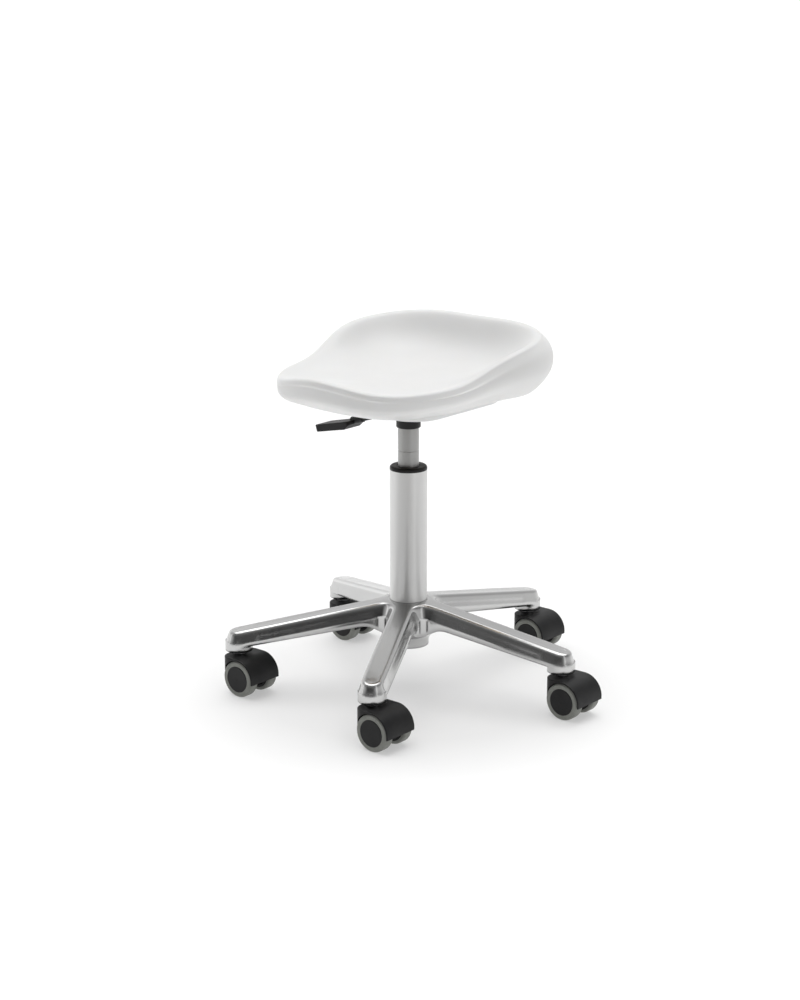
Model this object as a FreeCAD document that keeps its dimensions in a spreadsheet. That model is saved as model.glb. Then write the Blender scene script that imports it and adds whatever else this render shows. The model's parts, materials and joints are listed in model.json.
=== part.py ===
import FreeCAD, Part
import math
import os
import Sketcher

# Dentist stool: five-legged cast base on twin-wheel casters, gas-lift column,
# release lever and a moulded saddle seat.  Millimetres, +Z up, the origin on the
# floor under the column axis, the front of the seat towards -Y.

SIZES = [
    # floor, legs and casters' places
    ("leg_count", 5, "legs on the base"),
    ("first_leg_angle", 10.1, "direction of the first leg, degrees from +X"),
    ("stem_circle", 230, "column axis to caster stem axis"),
    ("leg_half_width", 18.5, "half the width of a leg and radius of its end collar"),
    ("leg_top_root", 122, "height of a leg's top where it meets the column"),
    ("leg_top_tip", 85, "height of a leg's top over the stem"),
    ("leg_bottom_tip", 64.5, "height of a leg's lower edge at the stem"),
    ("leg_bottom_slope", 8.5, "slope of a leg's lower edge, degrees"),
    ("bevel_in", 5.5, "inset of a leg's bevelled sides at its top"),
    ("bevel_down", 16, "height of a leg's bevelled sides"),
    ("leg_edge_round", 3, "rounding along a leg's bevelled sides"),
    ("leg_gap_round", 14, "rounding between neighbouring legs"),
    ("leg_wall", 4, "wall of the hollow leg"),
    ("channel_start", 48, "column axis to the hub end of a leg's channel"),
    ("channel_end", 206, "column axis to the tip end of a leg's channel"),
    ("channel_chamfer", 9, "upper corners of the channel"),
    ("collar_bottom", 57, "height of the lower face of a leg's end collar"),
    ("hub_bottom", 57.5, "height of the hub's lower face"),
    ("hub_radius", 27.5, "radius of the hub's lower barrel"),
    ("hub_flare_bottom", 61.5, "height where the barrel starts to flare"),
    ("hub_flare", 16, "radius of the flare at the barrel"),
    ("hub_flare_slope", 30, "slope of the flare towards the legs, degrees"),
    ("hub_flare_fade", 30, "radius where the flare runs out into the legs"),
    # column
    ("column_radius", 25, "outer radius of the column tube"),
    ("column_wall", 2, "wall of the column tube"),
    ("column_bottom", 59, "height of the tube's lower end"),
    ("column_top", 301.5, "height of the tube's upper end"),
    ("taper_start", 123, "height where the tube's press taper starts"),
    ("taper_depth", 1.5, "reduction of radius at the tube's lower end"),
    ("bush_top", 306.8, "height of the guide bush's flange"),
    ("bush_round", 3, "rounding of the guide bush's flange"),
    ("bush_bottom", 236, "height of the guide bush's lower end"),
    ("bush_clearance", 0.05, "running clearance of the cylinder in its bush"),
    ("end_plate_bottom", 63, "height of the tube's end plate"),
    ("end_plate_thick", 3, "thickness of the tube's end plate"),
    # piston rod and thrust bearing
    ("rod_radius", 5, "radius of the piston rod"),
    ("rod_end_radius", 4, "radius of the rod's lower end"),
    ("rod_bottom", 58.5, "height of the rod's lower end"),
    ("rod_shoulder", 74, "height of the shoulder on the upper race"),
    ("rod_neck_radius", 3.5, "radius of the rod in the piston"),
    ("rod_clearance", 0.08, "running clearance round the rod"),
    ("clip_bottom", 60.6, "height of the rod clip"),
    ("clip_thick", 1.4, "thickness of the rod clip"),
    ("race_radius", 11, "outer radius of the bearing races"),
    ("race_thick", 2, "thickness of a bearing race"),
    ("ball_radius", 1.8, "radius of a bearing ball"),
    ("ball_circle", 7.8, "radius of the circle of balls"),
    ("ball_count", 10, "bearing balls"),
    ("ball_lift", 0.3, "gap between the balls and the lower race"),
    ("cage_thick", 1.4, "thickness of the bearing cage"),
    ("buffer_radius", 13, "outer radius of the rubber buffer"),
    ("buffer_tall", 12, "height of the rubber buffer"),
    ("piston_bottom", 260, "height of the piston"),
    ("piston_tall", 12, "height of the piston"),
    ("seal_tall", 4, "height of the piston seal"),
    ("seal_depth", 2.2, "depth of the piston seal's groove"),
    # gas cylinder
    ("cylinder_radius", 14, "outer radius of the gas cylinder"),
    ("cylinder_bore", 12.5, "bore radius of the gas cylinder"),
    ("cylinder_bottom", 150, "height of the cylinder's lower end"),
    ("cylinder_roof", 340, "height of the top of the gas chamber"),
    ("cylinder_taper_start", 352, "height where the cylinder's taper starts"),
    ("cylinder_top", 371, "height of the cylinder's upper end"),
    ("cylinder_taper_depth", 0.7, "reduction of radius at the upper end"),
    ("groove_height", 328, "height of the turned ring on the cylinder"),
    ("guide_tall", 20, "height of the rod guide"),
    ("valve_radius", 8, "radius of the valve body"),
    ("pin_radius", 3, "radius of the release pin"),
    ("pin_bottom", 346, "height of the release pin's lower end"),
    ("pin_top", 378.1, "height of the release pin's upper end"),
    # socket, plate and pan
    ("socket_radius", 16.3, "outer radius of the taper socket"),
    ("socket_bottom", 358.5, "height of the socket's lower edge"),
    ("socket_round", 1.8, "rounding of the socket's lower edge"),
    ("slot_floor", 372.6, "height of the floor of the lever slot"),
    ("slot_width", 9, "width of the lever slot"),
    ("slot_end", 8, "reach of the lever slot past the axis"),
    ("plate_bottom", 390, "height of the mounting plate"),
    ("plate_thick", 3, "thickness of the mounting plate"),
    ("plate_side", 120, "side of the square mounting plate"),
    ("plate_corner", 12, "corner radius of the mounting plate"),
    ("screw_square", 90, "side of the square of plate screws"),
    ("screw_radius", 2.95, "radius of a plate screw"),
    ("screw_head_radius", 5.5, "radius of a screw head"),
    ("screw_head_tall", 3.2, "height of a screw head"),
    ("plate_hole_radius", 3.3, "radius of a hole in the mounting plate"),
    ("insert_radius", 4.25, "outer radius of a threaded insert"),
    ("insert_tall", 11, "height of a threaded insert"),
    ("pan_thick", 12, "thickness of the seat pan"),
    ("pan_side", 190, "side of the square seat pan"),
    ("pan_corner", 40, "corner radius of the seat pan"),
    # lever
    ("lever_slope", 17, "fall of the lever towards its tip, degrees"),
    ("lever_pivot_x", -14, "lever pivot's place along X"),
    ("lever_pivot_z", 378.5, "height of the lever pivot"),
    ("lever_rod_radius", 4, "radius of the lever rod"),
    ("lever_inner", 18, "pivot to the inner end of the rod"),
    ("lever_outer", 85, "pivot to the outer end of the rod"),
    ("pivot_radius", 2, "radius of the lever's pivot pin"),
    ("paddle_start", 82, "pivot to the root of the paddle"),
    ("paddle_end", 143, "pivot to the tip of the paddle"),
    ("paddle_drop", 4.5, "drop of the paddle's middle below the rod at its root"),
    ("paddle_width", 35, "width of the paddle"),
    ("paddle_thick", 10, "thickness of the paddle"),
    ("paddle_bevel", 5, "bevel under the root of the paddle"),
    ("paddle_corner", 4, "rounding of the paddle's corners seen from above"),
    ("paddle_edge", 1.4, "rounding of the paddle's edges"),
    ("paddle_neck", 68, "pivot to the inner end of the paddle's neck"),
    ("paddle_neck_end", 88, "pivot to the outer end of the paddle's neck"),
    ("paddle_neck_radius", 5.2, "radius of the paddle's neck"),
    # seat
    ("seat_front", 184, "column axis to the front of the seat"),
    ("seat_back", 168, "column axis to the back of the seat"),
    ("seat_half_back", 166, "half width of the seat at the back"),
    ("seat_half_front", 140, "half width of the seat at the front"),
    ("seat_back_corner", 92, "radius of the back corners"),
    ("seat_front_corner", 84, "radius of the front corners"),
    ("seat_belly", 420, "height of the seat's widest outline"),
    ("seat_under_inset", 42, "inset of the seat's flat underside"),
    ("seat_roof", 492, "height of the blank the seat is cut from"),
    ("seat_rim_round", 6, "rounding of the seat's upper edge"),
    ("crest_dip", 435, "height of the seat's edge beside the thighs"),
    ("crest_back", 487, "height of the seat's edge at the back"),
    ("dip_place", -86, "place along Y of the thigh dip"),
    ("saddle_radius", 350, "radius of the thigh dip seen from the side"),
    ("brow_radius", 150, "radius of the seat's raised back seen from the side"),
    ("bowl_place", 20, "place along Y of the middle of the seat's bowl"),
    ("bowl_floor", 434, "height of the lowest point of the bowl"),
    ("bowl_flat", 80, "radius of the bowl's shallow middle"),
    ("bowl_floor_radius", 700, "radius of curvature of the bowl's middle"),
    ("bowl_side_radius", 64, "radius of curvature of the bowl's side"),
    # casters
    ("stem_radius", 5.5, "radius of a caster stem"),
    ("stem_bottom", 20, "height of a stem's lower end"),
    ("stem_tall", 22, "length of a stem in its collar"),
    ("stem_bore_radius", 5.8, "radius of a stem's bore in the leg"),
    ("stem_flange_radius", 10, "radius of the flange under the collar"),
    ("stem_flange_bottom", 53, "height of the flange's lower face"),
    ("ring_height", 71, "height of the grip ring"),
    ("ring_tall", 3, "height of the grip ring"),
    ("ring_groove", 4.8, "radius of the stem in the grip ring"),
    ("swivel_clearance", 0.05, "running clearance of a stem in its hood"),
    ("wheel_radius", 25, "radius of a wheel"),
    ("trail", 20, "stem axis to wheel axle"),
    ("hood_half_width", 27, "half the width of a hood"),
    ("hood_gap", 0.9, "gap between a tyre and its hood"),
    ("hood_wall", 1.6, "wall of the hood over a tyre"),
    ("hood_front", -10.5, "stem axis to the hood's flat front"),
    ("hood_front_round", 16, "rounding of the hood's front corners"),
    ("hood_front_bottom", 24, "height of the lower edge of the hood's front"),
    ("hood_rear_angle", 7, "fall of the hood's rear edge below the axle, degrees"),
    ("hood_core_half", 9.2, "half the width of the hood's middle wall"),
    ("hood_web_radius", 14, "radius of the hood's boss round the axle"),
    ("axle_radius", 3, "radius of a wheel axle"),
    ("axle_half", 22, "half the length of a wheel axle"),
    ("axle_clearance", 0.05, "running clearance of a wheel on its axle"),
    ("wheel_inner", 11, "middle of the caster to a wheel's rim"),
    ("wheel_hub_inner", 9.7, "middle of the caster to a wheel's hub"),
    ("wheel_hub_radius", 6.5, "radius of a wheel's hub"),
    ("wheel_web", 19, "middle of the caster to a wheel's disc"),
    ("wheel_outer", 26.2, "middle of the caster to a tyre's side"),
    ("cap_outer", 27, "middle of the caster to the middle of a cap"),
    ("cap_radius", 18, "radius of a wheel's side cap"),
    ("rim_radius", 20.5, "radius of a wheel's rim under the tyre"),
    ("rim_shoulder", 24, "middle of the caster to the rim's shoulder"),
    ("tyre_round", 3.2, "rounding of a tyre's shoulders"),
]

doc = FreeCAD.newDocument("dentist_stool")
sheet = doc.addObject("Spreadsheet::Sheet", "d")
parts = []

LEG_TOP_SLOPE = "(d.leg_top_root - d.leg_top_tip) / (d.stem_circle - d.column_radius)"
LEG_REACH = "d.stem_circle + d.leg_half_width + 6"
AXLE_Z = "d.wheel_radius"
TUBE_BORE = "d.column_radius - d.column_wall"


def fill_sheet():
    """Write every driving dimension to the spreadsheet under its own alias."""
    for row, (alias, value, meaning) in enumerate(SIZES, 1):
        sheet.set(f"A{row}", meaning)
        sheet.set(f"B{row}", str(value))
        sheet.setAlias(f"B{row}", alias)
    doc.recompute()


def value(expression):
    """Present value of an expression, in millimetres or degrees."""
    result = sheet.evalExpression(str(expression))
    return float(getattr(result, "Value", result))


# ---------------------------------------------------------------- sketch helpers

def new_body(label):
    """A PartDesign body for one sub-part; its label names its file."""
    body = doc.addObject("PartDesign::Body", label)
    body.Label = label
    body.AllowCompound = True
    parts.append(body)
    return body


def origin_feature(body, role):
    """One of the body's own origin planes or axes."""
    return [item for item in body.Origin.OriginFeatures if item.Role == role][0]


def new_sketch(body, name, plane="XZ_Plane", lift=None, shift=None):
    """Sketch on an origin plane, moved along its normal by lift and along its x by shift."""
    sketch = body.newObject("Sketcher::SketchObject", f"{body.Name}_{name}")
    sketch.AttachmentSupport = [(origin_feature(body, plane), "")]
    sketch.MapMode = "FlatFace"
    if lift is not None:
        sketch.setExpression("AttachmentOffset.Base.z", lift)
    if shift is not None:
        sketch.setExpression("AttachmentOffset.Base.x", shift)
    return sketch


def bind(sketch, constraint, expression):
    """Add a constraint whose last value follows an expression."""
    index = sketch.addConstraint(Sketcher.Constraint(*constraint, value(expression)))
    sketch.setExpression(f"Constraints[{index}]", str(expression))


def draw_outline(sketch, corners):
    """Closed outline through corners, each (x, y) or (x, y, (centre x, centre y, turn)).

    A third entry makes the edge that leaves the corner an arc about that centre,
    anticlockwise for turn 1 and clockwise for turn -1.
    """
    places = [FreeCAD.Vector(value(c[0]), value(c[1]), 0) for c in corners]
    starts = []
    ends = []
    for index, corner in enumerate(corners):
        here = places[index]
        there = places[(index + 1) % len(places)]
        if len(corner) == 2:
            edge = sketch.addGeometry(Part.LineSegment(here, there), False)
            starts.append((edge, 1))
            ends.append((edge, 2))
            continue
        centre_x, centre_y, turn = corner[2]
        centre = FreeCAD.Vector(value(centre_x), value(centre_y), 0)
        first, last = (here, there) if turn > 0 else (there, here)
        angle_first = math.atan2(first.y - centre.y, first.x - centre.x)
        angle_last = math.atan2(last.y - centre.y, last.x - centre.x)
        circle = Part.Circle(centre, FreeCAD.Vector(0, 0, 1), (first - centre).Length)
        arc = Part.ArcOfCircle(circle, angle_first, angle_last)
        edge = sketch.addGeometry(arc, False)
        starts.append((edge, 1 if turn > 0 else 2))
        ends.append((edge, 2 if turn > 0 else 1))
        chord = there - here
        if abs(chord.x) > abs(chord.y):
            bind(sketch, ("DistanceY", -1, 1, edge, 3), centre_y)
        else:
            bind(sketch, ("DistanceX", -1, 1, edge, 3), centre_x)
    for index, corner in enumerate(corners):
        follower = starts[(index + 1) % len(corners)]
        sketch.addConstraint(Sketcher.Constraint("Coincident", *ends[index], *follower))
        bind(sketch, ("DistanceX", -1, 1, *starts[index]), corner[0])
        bind(sketch, ("DistanceY", -1, 1, *starts[index]), corner[1])
    return sketch


def draw_circle(sketch, centre_x, centre_y, radius):
    """Circle with a bound centre and radius."""
    centre = FreeCAD.Vector(value(centre_x), value(centre_y), 0)
    circle = Part.Circle(centre, FreeCAD.Vector(0, 0, 1), value(radius))
    edge = sketch.addGeometry(circle, False)
    bind(sketch, ("Radius", edge), radius)
    bind(sketch, ("DistanceX", -1, 1, edge, 3), centre_x)
    bind(sketch, ("DistanceY", -1, 1, edge, 3), centre_y)
    return sketch


def draw_hull(sketch, circles):
    """Outline of a belt round circles (x, y, radius), listed anticlockwise."""
    discs = [tuple(value(item) for item in circle) for circle in circles]
    touches = []
    for index, (x, y, radius) in enumerate(discs):
        next_x, next_y, next_radius = discs[(index + 1) % len(discs)]
        heading = math.atan2(next_y - y, next_x - x)
        span = math.hypot(next_x - x, next_y - y)
        normal = heading - math.pi / 2 + math.asin((next_radius - radius) / span)
        touches.append(normal)
    arcs = []
    lines = []
    for index, (x, y, radius) in enumerate(discs):
        circle = Part.Circle(FreeCAD.Vector(x, y, 0), FreeCAD.Vector(0, 0, 1), radius)
        arc = Part.ArcOfCircle(circle, touches[index - 1], touches[index])
        arcs.append(sketch.addGeometry(arc, False))
    for index, (x, y, radius) in enumerate(discs):
        next_x, next_y, next_radius = discs[(index + 1) % len(discs)]
        way = FreeCAD.Vector(math.cos(touches[index]), math.sin(touches[index]), 0)
        here = FreeCAD.Vector(x, y, 0) + way * radius
        there = FreeCAD.Vector(next_x, next_y, 0) + way * next_radius
        lines.append(sketch.addGeometry(Part.LineSegment(here, there), False))
    for index, circle in enumerate(circles):
        after = arcs[(index + 1) % len(arcs)]
        sketch.addConstraint(Sketcher.Constraint("Tangent", arcs[index], 2, lines[index], 1))
        sketch.addConstraint(Sketcher.Constraint("Tangent", lines[index], 2, after, 1))
        bind(sketch, ("Radius", arcs[index]), circle[2])
        bind(sketch, ("DistanceX", -1, 1, arcs[index], 3), circle[0])
        bind(sketch, ("DistanceY", -1, 1, arcs[index], 3), circle[1])
    return sketch


def square_hull(sketch, side, corner):
    """Square with round corners about the sketch's origin."""
    reach = f"({side}) / 2 - ({corner})"
    signs = ((1, 1), (-1, 1), (-1, -1), (1, -1))
    return draw_hull(sketch, [(f"{x} * ({reach})", f"{y} * ({reach})", corner) for x, y in signs])


# --------------------------------------------------------------- feature helpers

def add_feature(body, kind, name, profile):
    """A sketch-based feature of the body."""
    feature = body.newObject(f"PartDesign::{kind}", f"{body.Name}_{name}")
    feature.Profile = profile
    return feature


def pad(body, name, profile, length, middle=False, back=False):
    """Pad a sketch by a bound length."""
    feature = add_feature(body, "Pad", name, profile)
    feature.setExpression("Length", length)
    feature.Midplane = middle
    feature.Reversed = back
    return feature


def pocket(body, name, profile, length, middle=False, back=False):
    """Pocket a sketch by a bound length, and make sure that it removed material."""
    doc.recompute()
    before = body.Shape.Volume
    feature = add_feature(body, "Pocket", name, profile)
    feature.setExpression("Length", length)
    feature.Midplane = middle
    feature.Reversed = back
    doc.recompute()
    if not feature.Shape.Volume < before:
        raise RuntimeError(f"{feature.Name} removed nothing")
    return feature


def turn(body, name, corners, cut=False, shift=None):
    """Revolve an outline of (radius, height) corners about the sketch's vertical axis."""
    doc.recompute()
    before = body.Shape.Volume if cut else 0
    sketch = draw_outline(new_sketch(body, f"{name}_outline", shift=shift), corners)
    feature = add_feature(body, "Groove" if cut else "Revolution", name, sketch)
    feature.ReferenceAxis = (sketch, ["V_Axis"])
    feature.Angle = 360
    doc.recompute()
    if cut and not feature.Shape.Volume < before:
        raise RuntimeError(f"{feature.Name} removed nothing")
    return feature


def around(body, name, feature, count):
    """Repeat a feature evenly about the body's vertical axis."""
    pattern = body.newObject("PartDesign::PolarPattern", f"{body.Name}_{name}")
    pattern.Originals = [feature]
    pattern.Axis = (origin_feature(body, "Z_Axis"), [""])
    pattern.Angle = 360
    pattern.setExpression("Occurrences", count)
    body.Tip = pattern
    doc.recompute()
    return pattern


def round_edges(body, name, base, radius, wanted):
    """Fillet the base feature's edges that the wanted test picks."""
    doc.recompute()
    names = [f"Edge{i}" for i, edge in enumerate(base.Shape.Edges, 1) if wanted(edge)]
    feature = body.newObject("PartDesign::Fillet", f"{body.Name}_{name}")
    feature.Base = (base, names)
    feature.setExpression("Radius", radius)
    doc.recompute()
    return feature


def bevel_edges(body, name, base, across, down, wanted):
    """Bevel the base feature's edges: across on the upper face, down on the sides."""
    doc.recompute()
    names = [f"Edge{i}" for i, edge in enumerate(base.Shape.Edges, 1) if wanted(edge)]
    feature = body.newObject("PartDesign::Chamfer", f"{body.Name}_{name}")
    feature.Base = (base, names)
    feature.ChamferType = "Two distances"
    feature.FlipDirection = True
    feature.setExpression("Size", across)
    feature.setExpression("Size2", down)
    doc.recompute()
    return feature


def place(body, place_x="0", place_y="0", place_z="0", turn_about=None, turn_by=0):
    """Put a body at a bound place, turned about an axis by a number of degrees."""
    if turn_about is not None:
        body.Placement.Rotation = FreeCAD.Rotation(turn_about, turn_by)
    for name, expression in (("x", place_x), ("y", place_y), ("z", place_z)):
        body.setExpression(f".Placement.Base.{name}", str(expression))


# ----------------------------------------------------------------- base and column

def leg_top(radius):
    """Height of the legs' top surface at a radius from the column axis."""
    return f"d.leg_top_root - ({LEG_TOP_SLOPE}) * (({radius}) - d.column_radius)"


def leg_bottom(radius):
    """Height of the legs' lower edge at a radius from the column axis."""
    return f"d.leg_bottom_tip + (d.stem_circle - ({radius})) * tan(d.leg_bottom_slope)"


def column_outside(height):
    """Outer radius of the column tube within its press taper."""
    run = "(d.taper_start - d.column_bottom)"
    return f"d.column_radius - d.taper_depth * (d.taper_start - ({height})) / {run}"


def channel_section(body, name, radius):
    """Cross-section of the hollow under a leg, at a radius from the column axis."""
    half = "(d.leg_half_width - d.leg_wall)"
    roof = f"({leg_top(radius)} - d.leg_wall)"
    floor = "d.hub_bottom - 6"
    corners = [
        (f"-{half}", floor),
        (half, floor),
        (half, f"{roof} - d.channel_chamfer"),
        (f"{half} - d.channel_chamfer", roof),
        (f"-{half} + d.channel_chamfer", roof),
        (f"-{half}", f"{roof} - d.channel_chamfer"),
    ]
    return draw_outline(new_sketch(body, name, "YZ_Plane", lift=radius), corners)


def underside_outline():
    """Outline of the space under the legs: their lower edge, then the flare down to the hub's barrel."""
    flare_x = "(d.hub_radius + d.hub_flare)"
    slope_x = f"({flare_x} - d.hub_flare * sin(d.hub_flare_slope))"
    slope_z = "(d.hub_flare_bottom + d.hub_flare * cos(d.hub_flare_slope))"
    both = "(tan(d.hub_flare_slope) + tan(d.leg_bottom_slope))"
    meeting_x = f"(({leg_bottom(slope_x)} - {slope_z}) / {both} + {slope_x})"
    fade_run = "(d.hub_flare_fade * tan((d.hub_flare_slope + d.leg_bottom_slope) / 2))"
    fade_end_x = f"({meeting_x} + {fade_run} * cos(d.leg_bottom_slope))"
    fade_start_x = f"({meeting_x} - {fade_run} * cos(d.hub_flare_slope))"
    fade_start_z = f"({leg_bottom(meeting_x)} - {fade_run} * sin(d.hub_flare_slope))"
    fade_x = f"({fade_end_x} - d.hub_flare_fade * sin(d.leg_bottom_slope))"
    fade_z = f"({leg_bottom(fade_end_x)} - d.hub_flare_fade * cos(d.leg_bottom_slope))"
    below = "d.hub_bottom - 8"
    return [
        ("d.hub_radius", below),
        (LEG_REACH, below),
        (LEG_REACH, leg_bottom(LEG_REACH)),
        (fade_end_x, leg_bottom(fade_end_x), (fade_x, fade_z, 1)),
        (fade_start_x, fade_start_z),
        (slope_x, slope_z, (flare_x, "d.hub_flare_bottom", 1)),
        ("d.hub_radius", "d.hub_flare_bottom"),
    ]


def make_star_base():
    """Die-cast star: five hollow legs with end collars round a hub."""
    body = new_body("star_base")
    half = "d.leg_half_width"
    plan = [
        ("0", f"-{half}"),
        ("d.stem_circle", f"-{half}", ("d.stem_circle", "0", 1)),
        ("d.stem_circle", half),
        ("0", half),
    ]
    plan_sketch = draw_outline(new_sketch(body, "leg_plan", "XY_Plane", lift="d.hub_bottom"), plan)
    leg = pad(body, "leg", plan_sketch, "d.leg_top_root")
    star = around(body, "legs", leg, "d.leg_count")
    meeting = value("d.leg_half_width / sin(180 / d.leg_count)")

    def is_gap_edge(edge):
        ends = [vertex.Point for vertex in edge.Vertexes]
        upright = len(ends) == 2 and abs(ends[0].z - ends[1].z) > 20
        return upright and abs(math.hypot(ends[0].x, ends[0].y) - meeting) < 1

    round_edges(body, "leg_gaps", star, "d.leg_gap_round", is_gap_edge)
    above = "d.leg_top_root + 90"
    top = [
        ("0", leg_top("0")),
        (LEG_REACH, leg_top(LEG_REACH)),
        (LEG_REACH, above),
        ("0", above),
    ]
    turn(body, "top_slope", top, cut=True)
    under = turn(body, "underside", underside_outline(), cut=True)
    slope = value(LEG_TOP_SLOPE)
    crown = value("d.leg_top_root + d.column_radius * " + LEG_TOP_SLOPE)

    def is_top_edge(edge):
        if isinstance(edge.Curve, Part.Line):
            return False
        picks = [edge.valueAt(edge.FirstParameter + t * (edge.LastParameter - edge.FirstParameter))
                 for t in (0.1, 0.5, 0.9)]
        on_top = all(abs(p.z - (crown - slope * math.hypot(p.x, p.y))) < 0.05 for p in picks)
        return on_top and all(math.hypot(p.x, p.y) > 20 for p in picks)

    def is_bevel_foot(edge):
        picks = [edge.valueAt(edge.FirstParameter + t * (edge.LastParameter - edge.FirstParameter))
                 for t in (0.1, 0.5, 0.9)]
        foot = crown - value("d.bevel_down")
        on_foot = all(abs(p.z - (foot - slope * math.hypot(p.x, p.y))) < 1 for p in picks)
        return on_foot and all(math.hypot(p.x, p.y) > 28 for p in picks)

    bevel = bevel_edges(body, "bevel", under, "d.bevel_in", "d.bevel_down", is_top_edge)
    round_top = round_edges(body, "leg_tops", bevel, "d.leg_edge_round", is_top_edge)
    round_edges(body, "bevel_foot", round_top, "d.leg_edge_round", is_bevel_foot)
    collar_plan = new_sketch(body, "collar_plan", "XY_Plane", lift="d.collar_bottom")
    draw_circle(collar_plan, "d.stem_circle", "0", half)
    collar = pad(body, "collar", collar_plan, "d.leg_bottom_tip - d.collar_bottom + 6")
    around(body, "collars", collar, "d.leg_count")
    channel = body.newObject("PartDesign::SubtractiveLoft", "star_base_channel")
    channel.Profile = channel_section(body, "channel_root", "d.channel_start")
    channel.Sections = [channel_section(body, "channel_tip", "d.channel_end")]
    channel.Ruled = True
    around(body, "channels", channel, "d.leg_count")
    bore = [
        ("0", "d.hub_bottom - 1"),
        (column_outside("d.hub_bottom - 1"), "d.hub_bottom - 1"),
        ("d.column_radius", "d.taper_start"),
        ("d.column_radius", "d.leg_top_root + 20"),
        ("0", "d.leg_top_root + 20"),
    ]
    turn(body, "column_bore", bore, cut=True)
    stem_plan = new_sketch(body, "stem_plan", "XY_Plane", lift="d.collar_bottom")
    draw_circle(stem_plan, "d.stem_circle", "0", "d.stem_bore_radius")
    stem_bore = pocket(body, "stem_bore", stem_plan, "d.stem_tall + 2", back=True)
    around(body, "stem_bores", stem_bore, "d.leg_count")
    place(body, turn_about=FreeCAD.Vector(0, 0, 1), turn_by=value("d.first_leg_angle"))


def make_column_tube():
    """Column tube with a press taper at its lower end."""
    body = new_body("column_tube")
    outside = column_outside("d.column_bottom")
    corners = [
        (f"{outside} - d.column_wall", "d.column_bottom"),
        (outside, "d.column_bottom"),
        ("d.column_radius", "d.taper_start"),
        ("d.column_radius", "d.column_top"),
        (TUBE_BORE, "d.column_top"),
        (TUBE_BORE, "d.taper_start"),
    ]
    turn(body, "wall", corners)


def make_guide_bush():
    """Plastic bush at the column's mouth that guides the gas cylinder."""
    body = new_body("guide_bush")
    bore = "d.cylinder_radius + d.bush_clearance"
    corners = [
        (bore, "d.bush_bottom"),
        (TUBE_BORE, "d.bush_bottom"),
        (TUBE_BORE, "d.column_top"),
        ("d.column_radius", "d.column_top"),
        ("d.column_radius", "d.bush_top - d.bush_round",
         ("d.column_radius - d.bush_round", "d.bush_top - d.bush_round", 1)),
        ("d.column_radius - d.bush_round", "d.bush_top"),
        (f"{bore} + 1.5", "d.bush_top", (f"{bore} + 1.5", "d.bush_top - 1.5", 1)),
        (bore, "d.bush_top - 1.5"),
    ]
    turn(body, "sleeve", corners)


def make_tube_end_plate():
    """Plate welded across the tube's lower end, which carries the thrust bearing."""
    body = new_body("tube_end_plate")
    edge = f"{column_outside('d.end_plate_bottom')} - d.column_wall"
    top = "d.end_plate_bottom + d.end_plate_thick"
    corners = [
        ("d.rod_end_radius + d.rod_clearance", "d.end_plate_bottom"),
        (edge, "d.end_plate_bottom"),
        (edge, top),
        ("d.rod_end_radius + d.rod_clearance", top),
    ]
    turn(body, "disc", corners)


# ------------------------------------------------------- thrust bearing and piston rod

RACE_BOTTOM = "(d.end_plate_bottom + d.end_plate_thick)"
BALL_Z = f"({RACE_BOTTOM} + d.race_thick + d.ball_lift + d.ball_radius)"


def make_ring(label, inner, outer, bottom, top):
    """Plain ring about the column axis."""
    body = new_body(label)
    corners = [(inner, bottom), (outer, bottom), (outer, top), (inner, top)]
    turn(body, "ring", corners)
    return body


def make_thrust_bearing():
    """Races, balls and cage that let the piston rod turn on the end plate."""
    inner = "d.rod_end_radius + d.rod_clearance"
    race_top = f"{RACE_BOTTOM} + d.race_thick"
    make_ring("lower_bearing_race", inner, "d.race_radius", RACE_BOTTOM, race_top)
    upper_bottom = f"{BALL_Z} + d.ball_radius"
    make_ring("upper_bearing_race", inner, "d.race_radius", upper_bottom, "d.rod_shoulder")
    balls = new_body("bearing_balls")
    half_disc = [
        ("0", f"{BALL_Z} - d.ball_radius", ("0", BALL_Z, 1)),
        ("0", f"{BALL_Z} + d.ball_radius"),
    ]
    ball = turn(balls, "ball", half_disc, shift="d.ball_circle")
    around(balls, "circle", ball, "d.ball_count")
    low = f"{BALL_Z} - d.cage_thick / 2"
    cage = make_ring("bearing_cage", "d.rod_end_radius + 0.4", "d.race_radius - 0.5",
                     low, f"{BALL_Z} + d.cage_thick / 2")
    hole_plan = new_sketch(cage, "ball_hole_plan", "XY_Plane", lift=low)
    draw_circle(hole_plan, "d.ball_circle", "0", "d.ball_radius + 0.15")
    hole = pocket(cage, "ball_hole", hole_plan, "d.cage_thick", back=True)
    around(cage, "ball_holes", hole, "d.ball_count")


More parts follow.
